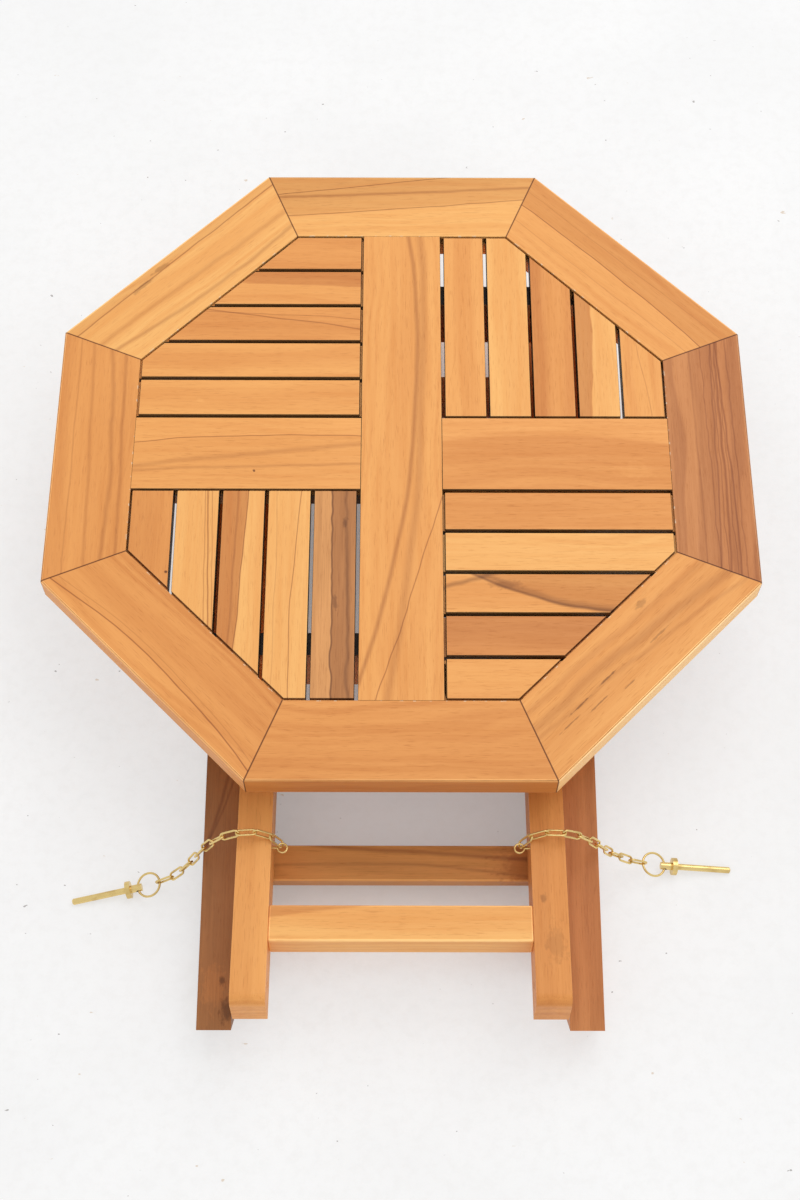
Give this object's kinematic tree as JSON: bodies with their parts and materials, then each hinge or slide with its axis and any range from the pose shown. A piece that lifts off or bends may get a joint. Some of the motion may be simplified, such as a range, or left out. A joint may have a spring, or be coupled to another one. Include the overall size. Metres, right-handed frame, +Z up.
{
  "type": "folding table",
  "caption": "Folding octagonal slatted teak garden table, lying folded on its crossed leg frames, with brass locking pins on chains.",
  "frame": {"origin": "on the floor, under the middle of the folded table's outline", "axes": "+X across the table towards its right side, +Y away from the side where the folded legs stick out, +Z up through the top"},
  "size_m": [0.7, 0.9012, 0.1625],
  "materials": {
    "light_teak": "satin",
    "teak": "satin",
    "dark_teak": "satin",
    "steel": "satin",
    "brass": "satin"
  },
  "bodies": {
    "tabletop": {"rim_far": "teak", "rim_far_right": "light_teak", "rim_right": "dark_teak", "rim_near_right": "teak", "rim_near": "teak", "rim_near_left": "teak", "rim_left": "dark_teak", "rim_far_left": "teak", "centre_board": "light_teak", "cross_board_left": "teak", "cross_board_right": "teak", "slat_far_left_1": "teak", "slat_far_left_2": "teak", "slat_far_left_3": "teak", "slat_far_left_4": "light_teak", "slat_far_left_5": "light_teak", "slat_far_right_1": "light_teak", "slat_far_right_2": "light_teak", "slat_far_right_3": "dark_teak", "slat_far_right_4": "teak", "slat_far_right_5": "teak", "slat_near_left_1": "teak", "slat_near_left_2": "light_teak", "slat_near_left_3": "teak", "slat_near_left_4": "light_teak", "slat_near_left_5": "dark_teak", "slat_near_right_1": "teak", "slat_near_right_2": "light_teak", "slat_near_right_3": "light_teak", "slat_near_right_4": "dark_teak", "slat_near_right_5": "light_teak", "back_beam": "dark_teak", "front_beam": "dark_teak", "bearer_left": "dark_teak", "bearer_right": "dark_teak", "hinge_bolts": "steel", "hinge_washers": "steel"},
    "outer_frame": {"outer_leg_left": "dark_teak", "outer_leg_right": "dark_teak", "outer_rail": "teak", "pivot_bolts": "steel", "pivot_washers": "steel", "pivot_nuts": "steel"},
    "inner_frame": {"inner_leg_left": "light_teak", "inner_leg_right": "teak", "near_rail": "light_teak", "foot_rail": "teak", "screw_eye_left": "brass", "screw_eye_right": "brass"},
    "upper_chain_left": {"upper_chain_left": "brass"},
    "lower_chain_left": {"lower_chain_left": "brass"},
    "pin_left": {"split_ring_left": "brass", "locking_pin_left": "brass"},
    "upper_chain_right": {"upper_chain_right": "brass"},
    "lower_chain_right": {"lower_chain_right": "brass"},
    "pin_right": {"split_ring_right": "brass", "locking_pin_right": "brass"}
  },
  "joints": [
    {"name": "fold", "type": "hinge", "parent": "tabletop", "child": "outer_frame", "pos_m": [0, 0.30461, 0.08646], "axis": [1, 0, 0], "range_deg": [0, 59.7]},
    {"name": "cross_pivot", "type": "hinge", "parent": "outer_frame", "child": "inner_frame", "pos_m": [0, -0.05701, 0.05482], "axis": [1, 0, 0], "range_deg": [-119.4, 0]},
    {"name": "chain_lift_left", "type": "hinge", "parent": "inner_frame", "child": "upper_chain_left", "pos_m": [-0.11189, -0.28616, 0.08834], "axis": [0, 1, 0], "range_deg": [0, 75]},
    {"name": "chain_bend_left", "type": "hinge", "parent": "upper_chain_left", "child": "lower_chain_left", "pos_m": [-0.19486, -0.28757, 0.0634], "axis": [0, 1, 0], "range_deg": [0, 30]},
    {"name": "ring_lift_left", "type": "hinge", "parent": "lower_chain_left", "child": "pin_left", "pos_m": [-0.23592, -0.29988, 0.01671], "axis": [0, 1, 0], "range_deg": [0, 90]},
    {"name": "chain_lift_right", "type": "hinge", "parent": "inner_frame", "child": "upper_chain_right", "pos_m": [0.11189, -0.28616, 0.08834], "axis": [0, -1, 0], "range_deg": [0, 75]},
    {"name": "chain_bend_right", "type": "hinge", "parent": "upper_chain_right", "child": "lower_chain_right", "pos_m": [0.19538, -0.28091, 0.0634], "axis": [0, -1, 0], "range_deg": [0, 30]},
    {"name": "ring_lift_right", "type": "hinge", "parent": "lower_chain_right", "child": "pin_right", "pos_m": [0.23824, -0.27976, 0.01671], "axis": [0, -1, 0], "range_deg": [0, 90]}
  ],
  "couplings": [
    {"joint": "cross_pivot", "follows": "fold", "ratio": -2}
  ]
}
